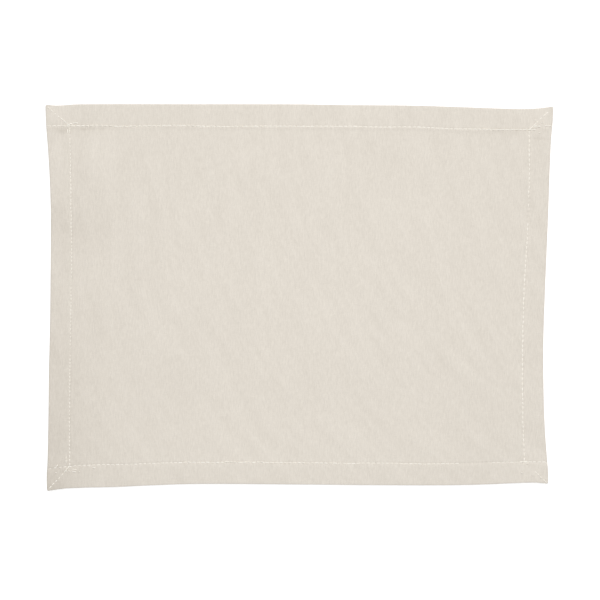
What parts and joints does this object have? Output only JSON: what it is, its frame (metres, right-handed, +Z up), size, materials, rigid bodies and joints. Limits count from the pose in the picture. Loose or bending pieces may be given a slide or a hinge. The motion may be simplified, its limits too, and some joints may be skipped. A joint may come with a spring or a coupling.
{
  "type": "fabric placemat",
  "caption": "Flat rectangular canvas placemat with a wide mitred hem and topstitched edges, lying face up on a table.",
  "frame": {"origin": "centre of the outline, on the underside that rests on the table", "axes": "+X along the longer side, +Y along the shorter side towards the far edge, +Z up through the face"},
  "size_m": [0.4572, 0.348, 0.0028],
  "materials": {
    "canvas": "matte",
    "thread": "matte"
  },
  "bodies": {
    "root": {"placemat_cloth": "canvas"}
  },
  "joints": []
}
